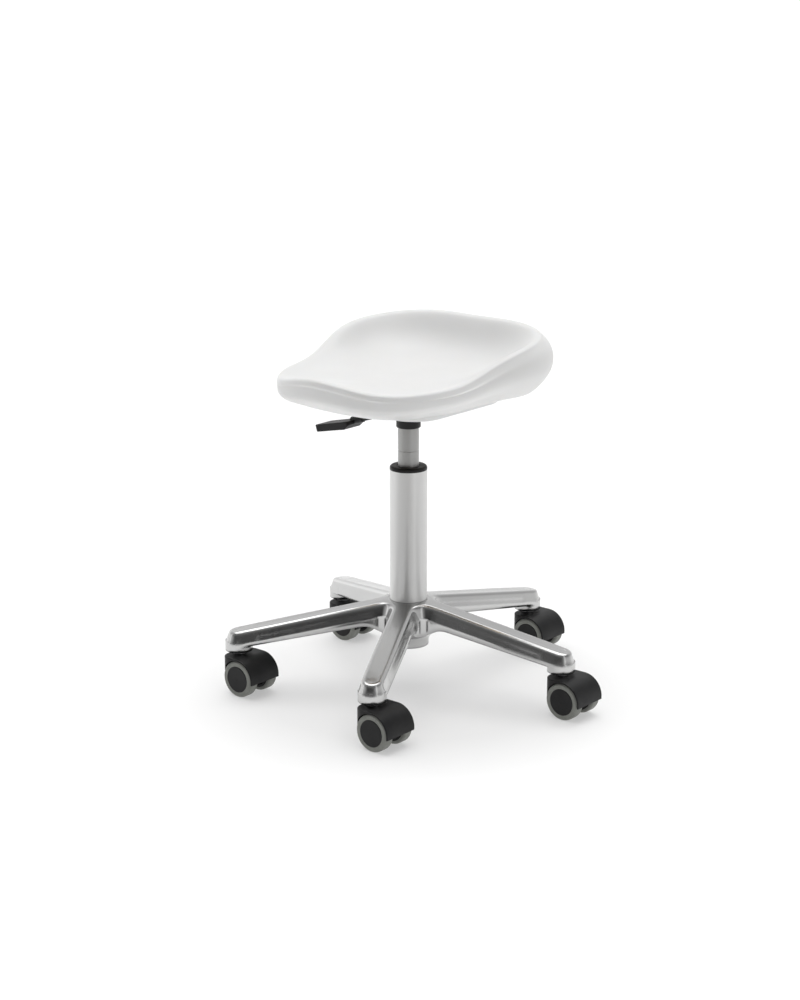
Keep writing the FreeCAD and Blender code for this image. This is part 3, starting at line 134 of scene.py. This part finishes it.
class Shader:
    """A material's node tree with short calls for the nodes used here."""

    def __init__(self, name, colour, metallic=0.0, roughness=0.5):
        self.material = bpy.data.materials.new(name)
        self.material.use_nodes = True
        self.tree = self.material.node_tree
        self.surface = self.tree.nodes["Principled BSDF"]
        self.surface.inputs["Base Color"].default_value = (*colour, 1)
        self.surface.inputs["Metallic"].default_value = metallic
        self.surface.inputs["Roughness"].default_value = roughness
        self.place = self.tree.nodes.new("ShaderNodeTexCoord").outputs["Object"]

    def node(self, kind, **values):
        node = self.tree.nodes.new(kind)
        for name, value in values.items():
            node.inputs[name].default_value = value
        return node

    def link(self, output, target):
        self.tree.links.new(output, target)

    def stretched(self, scale):
        """Object coordinates multiplied by a scale per axis."""
        mapping = self.node("ShaderNodeMapping", Scale=scale)
        self.link(self.place, mapping.inputs["Vector"])
        return mapping.outputs["Vector"]

    def noise(self, scale, detail=3.0, place=None, roughness=0.5):
        node = self.node("ShaderNodeTexNoise", Scale=scale, Detail=detail, Roughness=roughness)
        self.link(place or self.place, node.inputs["Vector"])
        return node.outputs["Fac"]

    def ramp(self, value, low, high, start=0.3, end=0.7):
        """Map a value from start..end to low..high."""
        node = self.node("ShaderNodeMapRange")
        node.inputs["From Min"].default_value = start
        node.inputs["From Max"].default_value = end
        node.inputs["To Min"].default_value = low
        node.inputs["To Max"].default_value = high
        self.link(value, node.inputs["Value"])
        return node.outputs["Result"]

    def colours(self, value, dark, light, start=0.3, end=0.7):
        """Blend two colours by a value."""
        node = self.tree.nodes.new("ShaderNodeValToRGB")
        node.color_ramp.elements[0].position = start
        node.color_ramp.elements[1].position = end
        node.color_ramp.elements[0].color = (*dark, 1)
        node.color_ramp.elements[1].color = (*light, 1)
        self.link(value, node.inputs["Fac"])
        return node.outputs["Color"]

    def vary_colour(self, value, dark, light, start=0.3, end=0.7):
        self.link(self.colours(value, dark, light, start, end), self.surface.inputs["Base Color"])

    def vary_roughness(self, value, low, high, start=0.3, end=0.7):
        self.link(self.ramp(value, low, high, start, end), self.surface.inputs["Roughness"])

    def bump(self, heights, normal=None):
        """Chain bumps from (height output, distance in metres, strength) on a base normal."""
        for height, distance, strength in heights:
            node = self.node("ShaderNodeBump", Distance=distance, Strength=strength)
            self.link(height, node.inputs["Height"])
            if normal is not None:
                self.link(normal, node.inputs["Normal"])
            normal = node.outputs["Normal"]
        self.link(normal, self.surface.inputs["Normal"])

    def set(self, name, value):
        self.surface.inputs[name].default_value = value


# ----------------------------------------------------------------------- materials

def polished_aluminium():
    """Hand-polished casting: rounded edges, faint waviness, hazy spots and fine polishing lines."""
    shader = Shader("polished_aluminium", (0.54, 0.54, 0.54), 1.0, 0.14)
    haze = shader.noise(9.0, 4.0)
    lines = shader.noise(60.0, 3.0, shader.stretched((1.0, 1.0, 14.0)))
    shader.vary_roughness(haze, 0.12, 0.20)
    shader.vary_colour(shader.noise(5.0, 2.0), (0.51, 0.51, 0.51), (0.57, 0.57, 0.565))
    soft_edges = shader.node("ShaderNodeBevel", Radius=0.008)
    soft_edges.samples = 16
    waviness = shader.noise(18.0, 2.0)
    shader.bump([(waviness, 0.0009, 0.35), (lines, 0.00004, 0.25)], soft_edges.outputs["Normal"])
    return shader.material


def ground_metal(name, dark, light, roughness):
    """Metal ground round its axis: fine rings that stretch its reflections upwards."""
    shader = Shader(name, light, 1.0, roughness)
    rings = shader.noise(40.0, 4.0, shader.stretched((0.5, 0.5, 60.0)))
    shader.vary_roughness(rings, roughness - 0.012, roughness + 0.012)
    shader.vary_colour(shader.noise(7.0, 2.0), dark, light)
    shader.bump([(rings, 0.000002, 0.1)])
    tangent = shader.node("ShaderNodeTangent")
    tangent.direction_type = "RADIAL"
    tangent.axis = "Z"
    shader.link(tangent.outputs["Tangent"], shader.surface.inputs["Tangent"])
    shader.set("Anisotropic", 0.8)
    shader.set("Anisotropic Rotation", 0.25)
    return shader.material


def satin_chrome():
    """Plated column tube with a soft satin lustre."""
    return ground_metal("satin_chrome", (0.64, 0.64, 0.635), (0.68, 0.68, 0.675), 0.42)


def ground_steel():
    """Centreless-ground steel of the gas cylinder, its colour kept dark as painted shade from the seat above
    it.
    """
    return ground_metal("ground_steel", (0.33, 0.33, 0.325), (0.37, 0.37, 0.365), 0.38)


def bright_steel():
    """Zinc-plated turned steel."""
    shader = Shader("bright_steel", (0.66, 0.67, 0.68), 1.0, 0.32)
    shader.vary_roughness(shader.noise(120.0, 4.0), 0.25, 0.42)
    shader.vary_colour(shader.noise(30.0, 3.0), (0.58, 0.59, 0.6), (0.72, 0.72, 0.73))
    shader.bump([(shader.noise(300.0, 2.0), 0.00004, 0.3)])
    return shader.material


def bearing_steel():
    """Ground and hardened steel."""
    shader = Shader("bearing_steel", (0.75, 0.75, 0.76), 1.0, 0.12)
    shader.vary_roughness(shader.noise(90.0, 3.0), 0.08, 0.18)
    shader.bump([(shader.noise(60.0, 2.0, shader.stretched((1.0, 1.0, 30.0))), 0.00002, 0.2)])
    return shader.material


def black_steel():
    """Powder-coated steel: orange peel and slightly worn gloss."""
    shader = Shader("black_steel", (0.007, 0.007, 0.0075), 0.0, 0.42)
    shader.set("Specular IOR Level", 0.3)
    shader.vary_colour(shader.noise(40.0, 3.0), (0.005, 0.005, 0.0055), (0.010, 0.010, 0.0105))
    shader.vary_roughness(shader.noise(25.0, 4.0), 0.34, 0.52)
    shader.bump([(shader.noise(700.0, 2.0), 0.00006, 0.35)])
    return shader.material


def black_nylon():
    """Moulded glass-filled nylon with a fine spark-eroded grain."""
    shader = Shader("black_nylon", (0.008, 0.008, 0.0085), 0.0, 0.45)
    shader.vary_colour(shader.noise(55.0, 4.0), (0.006, 0.006, 0.0065), (0.012, 0.012, 0.0125))
    shader.vary_roughness(shader.noise(35.0, 4.0), 0.40, 0.54)
    shader.bump([(shader.noise(1500.0, 2.0), 0.00006, 0.35)])
    shader.set("Specular IOR Level", 0.26)
    return shader.material


def black_rubber():
    """Black rubber with a dull bloom."""
    shader = Shader("black_rubber", (0.02, 0.02, 0.02), 0.0, 0.75)
    shader.vary_colour(shader.noise(80.0, 4.0), (0.014, 0.014, 0.014), (0.035, 0.035, 0.034))
    shader.bump([(shader.noise(600.0, 3.0), 0.0001, 0.4)])
    return shader.material


def grey_tyre():
    """Soft grey polyurethane tread with faint scuffs."""
    shader = Shader("grey_tyre", (0.22, 0.225, 0.205), 0.0, 0.62)
    shader.set("Specular IOR Level", 0.3)
    scuffs = shader.noise(90.0, 5.0, roughness=0.65)
    shader.vary_colour(scuffs, (0.19, 0.195, 0.178), (0.25, 0.255, 0.235), 0.35, 0.65)
    shader.vary_roughness(shader.noise(45.0, 4.0), 0.5, 0.7)
    shader.bump([(shader.noise(900.0, 3.0), 0.00008, 0.35)])
    return shader.material


def brass():
    """Turned brass."""
    shader = Shader("brass", (0.74, 0.56, 0.26), 1.0, 0.3)
    shader.vary_colour(shader.noise(60.0, 3.0), (0.66, 0.48, 0.2), (0.8, 0.62, 0.32))
    shader.vary_roughness(shader.noise(110.0, 3.0), 0.22, 0.4)
    return shader.material


def plywood():
    """Birch plywood: veneer layers on the edge, long grain on the face."""
    shader = Shader("plywood", (0.62, 0.45, 0.27), 0.0, 0.6)
    layers = shader.node("ShaderNodeTexWave", Scale=110.0, Distortion=1.2, Detail=2.0)
    layers.bands_direction = "Z"
    shader.link(shader.place, layers.inputs["Vector"])
    grain = shader.noise(30.0, 5.0, shader.stretched((1.0, 9.0, 1.0)))
    mix = shader.tree.nodes.new("ShaderNodeMath")
    mix.operation = "ADD"
    shader.link(grain, mix.inputs[0])
    scaled = shader.ramp(layers.outputs["Fac"], -0.15, 0.15, 0.0, 1.0)
    shader.link(scaled, mix.inputs[1])
    shader.vary_colour(mix.outputs[0], (0.46, 0.31, 0.17), (0.72, 0.56, 0.37))
    shader.bump([(grain, 0.0002, 0.4)])
    return shader.material


def white_foam_skin():
    """White integral foam skin: satin, with a very fine leather-like mould grain."""
    shader = Shader("white_foam_skin", (0.74, 0.74, 0.735), 0.0, 0.42)
    shader.vary_colour(shader.noise(7.0, 4.0), (0.73, 0.73, 0.725), (0.755, 0.755, 0.75))
    shader.vary_roughness(shader.noise(28.0, 4.0), 0.36, 0.50)
    cells = shader.node("ShaderNodeTexVoronoi", Scale=650.0)
    cells.feature = "DISTANCE_TO_EDGE"
    shader.link(shader.place, cells.inputs["Vector"])
    shader.bump([
        (shader.noise(14.0, 2.0), 0.0008, 0.25),
        (cells.outputs["Distance"], 0.00018, 0.3),
        (shader.noise(1600.0, 2.0), 0.00006, 0.3),
    ])
    shader.set("Subsurface Weight", 0.06)
    shader.set("Subsurface Radius", (0.004, 0.003, 0.002))
    shader.set("Subsurface Scale", 1.0)
    return shader.material


MATERIALS = {
    "polished_aluminium": polished_aluminium(),
    "satin_chrome": satin_chrome(),
    "ground_steel": ground_steel(),
    "bright_steel": bright_steel(),
    "bearing_steel": bearing_steel(),
    "black_steel": black_steel(),
    "black_nylon": black_nylon(),
    "black_rubber": black_rubber(),
    "grey_tyre": grey_tyre(),
    "brass": brass(),
    "plywood": plywood(),
    "white_foam_skin": white_foam_skin(),
}


def dress_cad_nodes():
    """Give every CAD node the procedural material of its slot."""
    for part in frame["record"]["subparts"]:
        node = NODES[part["node"]]
        node.data.materials.clear()
        node.data.materials.append(MATERIALS[part["material_slot"]])


# ---------------------------------------------------------------------------- seat

def round_seat(sizes, angle):
    """Smooth size at an angle from the front, through sizes at equal steps from the front to the back.

    The seat is the same on its left and right, so the curve through them is a cosine series.
    """
    last = len(sizes) - 1
    weights = [0.5 if step in (0, last) else 1.0 for step in range(last + 1)]
    total = 0.0
    for wave, wave_weight in enumerate(weights):
        share = 0.0
        for step, (weight, size) in enumerate(zip(weights, sizes)):
            share += weight * size * math.cos(math.pi * step * wave / last)
        total += wave_weight * share * math.cos(wave * angle) * 2 / last
    return total


def soft_least(first, second, blend):
    """The smaller of two lengths, rounded where they meet."""
    return -blend * math.log(math.exp(-first / blend) + math.exp(-second / blend))


def seat_profile(angle):
    """Seat section from the middle of the bowl, over the rim, to the edge of the pan's recess.

    Each entry is (distance from the seat's centre, height).
    """
    rim = round_seat(RIM_RADIUS, angle)
    crest = round_seat(RIM_HEIGHT, angle)
    bulge = round_seat(SIDE_BULGE, angle)
    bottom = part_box("seat_cushion")[0].z
    lowest_share = RIM_SECTION[-1][3]
    room = (crest - bottom - UNDER_MARGIN) / lowest_share
    side = soft_least(round_seat(SIDE_HEIGHT, angle), room, SIDE_BLEND)
    steepness = round_seat(BOWL_STEEPNESS, angle)
    points = []
    for share in BOWL_RINGS:
        lift = (crest - BOWL_EDGE_DROP - BOWL_FLOOR) * share ** steepness
        points.append(((rim - BOWL_EDGE_INSET) * share, BOWL_FLOOR + lift))
    for outwards, bulge_share, below, side_share in RIM_SECTION:
        points.append((rim + outwards + bulge * bulge_share, crest - below - side * side_share))
    start_radius, start_height = points[-1]
    for share in UNDER_RINGS:
        radius = start_radius + (UNDER_RADIUS - start_radius) * share
        height = bottom + (start_height - bottom) * (1 - share) ** UNDER_ROUNDNESS
        points.append((radius, height))
    return points


def rounded_square_reach(away, half):
    """Distance from the middle of the pan's square to its rounded outline, in a direction."""
    big, small = max(abs(away[0]), abs(away[1])), min(abs(away[0]), abs(away[1]))
    reach = half / big
    centre = half - PAN_CORNER
    if small * reach <= centre:
        return reach
    along = (big + small) * centre
    return along + math.sqrt(along * along - 2 * centre * centre + PAN_CORNER * PAN_CORNER)


def seat_rings():
    """Rings of points from the bowl's middle to the roof of the pan's recess."""
    angles = [2 * math.pi * k / SEAT_SPOKES for k in range(SEAT_SPOKES)]
    ways = [(-math.sin(angle), -math.cos(angle)) for angle in angles]
    rings = []
    for section in zip(*[seat_profile(angle) for angle in angles]):
        rings.append([
            (radius * way[0], radius * way[1] - SEAT_CENTRE_FORWARD, height)
            for (radius, height), way in zip(section, ways)
        ])
    low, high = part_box("seat_pan")
    half = (high.x - low.x) / 2 + PAN_CLEARANCE
    reaches = [rounded_square_reach(way, half) for way in ways]
    for height in (low.z, high.z + PAN_ROOF_CLEARANCE):
        rings.append([(way[0] * reach, way[1] * reach, height) for way, reach in zip(ways, reaches)])
    return rings


def make_seat():
    """The moulded seat as one closed subdivision surface with a recess for the pan."""
    rings = seat_rings()
    vertices = [point for ring in rings for point in ring]
    top = len(vertices)
    roof = top + 1
    vertices.append((0.0, -SEAT_CENTRE_FORWARD, BOWL_FLOOR))
    vertices.append((0.0, 0.0, rings[-1][0][2]))
    faces = []
    for ring in range(len(rings) - 1):
        for k in range(SEAT_SPOKES):
            after = (k + 1) % SEAT_SPOKES
            a, b = ring * SEAT_SPOKES + k, ring * SEAT_SPOKES + after
            faces.append((a, a + SEAT_SPOKES, b + SEAT_SPOKES, b))
    last = (len(rings) - 1) * SEAT_SPOKES
    for k in range(SEAT_SPOKES):
        after = (k + 1) % SEAT_SPOKES
        faces.append((top, k, after))
        faces.append((roof, last + after, last + k))
    mesh = bpy.data.meshes.new("seat_shell")
    mesh.from_pydata(vertices, [], faces)
    mesh.validate()
    seat = bpy.data.objects.new("seat_shell", mesh)
    bpy.context.scene.collection.objects.link(seat)
    crease_rings(mesh, (len(rings) - 2, len(rings) - 1))
    add_subdivision(seat, 2)
    seat.data.shade_smooth()
    seat.data.materials.append(MATERIALS["white_foam_skin"])
    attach(seat, "seat")
    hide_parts("seat_cushion")


def crease_rings(mesh, rings):
    """Keep the pan's recess crisp under subdivision."""
    crease = mesh.attributes.new("crease_edge", "FLOAT", "EDGE")
    values = np.zeros(len(mesh.edges), np.float32)
    for index, edge in enumerate(mesh.edges):
        a, b = edge.vertices
        if a // SEAT_SPOKES == b // SEAT_SPOKES and a // SEAT_SPOKES in rings:
            values[index] = 1.0
    crease.data.foreach_set("value", values)


def add_subdivision(thing, levels):
    """Subdivide a mesh and keep the result as its mesh."""
    modifier = thing.modifiers.new("smooth", "SUBSURF")
    modifier.levels = levels
    modifier.render_levels = levels
    view = bpy.context.evaluated_depsgraph_get()
    result = bpy.data.meshes.new_from_object(thing.evaluated_get(view))
    thing.modifiers.clear()
    old = thing.data
    name = old.name
    thing.data = result
    bpy.data.meshes.remove(old)
    result.name = name


# --------------------------------------------------------- floor, lights and camera

def make_floor():
    """Pale floor that runs to the horizon, with a painted shadow under the stool where its glow is lowered.
    """
    size = FLOOR_HALF_SIZE
    mesh = bpy.data.meshes.new("floor")
    corners = [(-size, -size, 0), (size, -size, 0), (size, size, 0), (-size, size, 0)]
    mesh.from_pydata(corners, [], [(0, 1, 2, 3)])
    floor = bpy.data.objects.new("floor", mesh)
    bpy.context.scene.collection.objects.link(floor)
    shader = Shader("floor_paint", (FLOOR_PAINT, FLOOR_PAINT, FLOOR_PAINT), 0.0, 0.7)
    shader.set("Specular IOR Level", 0.2)
    shader.set("Emission Color", (1.0, 1.0, 1.0, 1.0))
    reach = shader.node("ShaderNodeVectorMath")
    reach.operation = "LENGTH"
    shader.link(shader.place, reach.inputs[0])
    distance = reach.outputs["Value"]
    # Painted shadow: the floor's glow is lowered in a soft disc round the stool.
    glow = shader.ramp(distance, FLOOR_GLOW - FLOOR_PAINTED_SHADOW, FLOOR_GLOW, *FLOOR_PAINTED_SHADOW_RADIUS)
    shader.link(glow, shader.surface.inputs["Emission Strength"])
    mesh.materials.append(shader.material)


def make_strips():
    """Tall soft strips that draw highlights on the metal."""
    for name, place, width, height, power in STRIPS:
        light = bpy.data.lights.new(name, "AREA")
        light.shape = "RECTANGLE"
        light.size = width
        light.size_y = height
        light.energy = power
        thing = bpy.data.objects.new(name, light)
        thing.location = place
        thing.rotation_euler = (STRIP_AIM - Vector(place)).to_track_quat("-Z", "Y").to_euler()
        bpy.context.scene.collection.objects.link(thing)


def make_world():
    """Studio surroundings: a soft round source overhead, walls that darken behind the camera."""
    world = bpy.data.worlds.new("studio")
    world.use_nodes = True
    tree = world.node_tree
    background = tree.nodes["Background"]
    way = tree.nodes.new("ShaderNodeTexCoord").outputs["Generated"]

    def along(direction):
        """How far the view direction points along a direction, as a cosine."""
        node = tree.nodes.new("ShaderNodeVectorMath")
        node.operation = "DOT_PRODUCT"
        node.inputs[1].default_value = Vector(direction).normalized()
        tree.links.new(way, node.inputs[0])
        return node.outputs["Value"]

    def mapped(value, span, low, high):
        """Map a value smoothly from a span to low..high."""
        node = tree.nodes.new("ShaderNodeMapRange")
        node.interpolation_type = "SMOOTHSTEP"
        node.inputs["From Min"].default_value = span[0]
        node.inputs["From Max"].default_value = span[1]
        node.inputs["To Min"].default_value = low
        node.inputs["To Max"].default_value = high
        tree.links.new(value, node.inputs["Value"])
        return node.outputs["Result"]

    def combined(operation, first, second):
        """Result of a mathematical operation on two values."""
        node = tree.nodes.new("ShaderNodeMath")
        node.operation = operation
        tree.links.new(first, node.inputs[0])
        tree.links.new(second, node.inputs[1])
        return node.outputs["Value"]

    behind = (-math.sin(CAMERA_AZIMUTH), math.cos(CAMERA_AZIMUTH), 0.0)
    height = along((0, 0, 1))
    near_wall = mapped(height, NEAR_WALL_HEIGHTS, *NEAR_WALL)
    far_wall = mapped(height, FAR_WALL_HEIGHTS, *FAR_WALL)
    far_share = mapped(along(behind), FAR_WALL_SPREAD, 0.0, 1.0)
    walls = combined("ADD", near_wall, combined("MULTIPLY", far_share, far_wall))
    sideways = tree.nodes.new("ShaderNodeMath")
    sideways.operation = "ABSOLUTE"
    tree.links.new(along((math.cos(SIDE_WALL_TURN), math.sin(SIDE_WALL_TURN), 0.0)), sideways.inputs[0])
    side_wall = mapped(sideways.outputs["Value"], SIDE_WALL_SPREAD, 0.0, SIDE_WALL)
    side_share = mapped(height, SIDE_WALL_HEIGHTS, 1.0, 0.0)
    walls = combined("ADD", walls, combined("MULTIPLY", side_wall, side_share))
    lean = math.sin(SKYLIGHT_TILT)
    centre = (behind[0] * lean, behind[1] * lean, math.cos(SKYLIGHT_TILT))
    outer = math.cos(math.radians(SKYLIGHT_RADIUS + SKYLIGHT_SOFTNESS))
    inner = math.cos(math.radians(SKYLIGHT_RADIUS - SKYLIGHT_SOFTNESS))
    skylight = mapped(along(centre), (outer, inner), 0.0, SKYLIGHT_LEVEL)
    tree.links.new(combined("ADD", walls, skylight), background.inputs["Color"])
    bpy.context.scene.world = world


def make_camera():
    """Camera that looks down on the stool from the seat's front right-hand side."""
    camera = bpy.data.cameras.new("camera")
    camera.lens = CAMERA_LENS
    camera.sensor_width = CAMERA_SENSOR
    camera.shift_x, camera.shift_y = CAMERA_SHIFT
    thing = bpy.data.objects.new("camera", camera)
    back = Vector((
        math.sin(CAMERA_AZIMUTH) * math.cos(CAMERA_ELEVATION),
        -math.cos(CAMERA_AZIMUTH) * math.cos(CAMERA_ELEVATION),
        math.sin(CAMERA_ELEVATION),
    ))
    thing.location = CAMERA_TARGET + back * CAMERA_DISTANCE
    thing.rotation_euler = back.to_track_quat("Z", "Y").to_euler()
    bpy.context.scene.collection.objects.link(thing)
    bpy.context.scene.camera = thing


make_camera()
make_world()
make_strips()
make_floor()
dress_cad_nodes()
make_seat()
bpy.context.scene.view_settings.view_transform = "Standard"
bpy.context.view_layer.update()
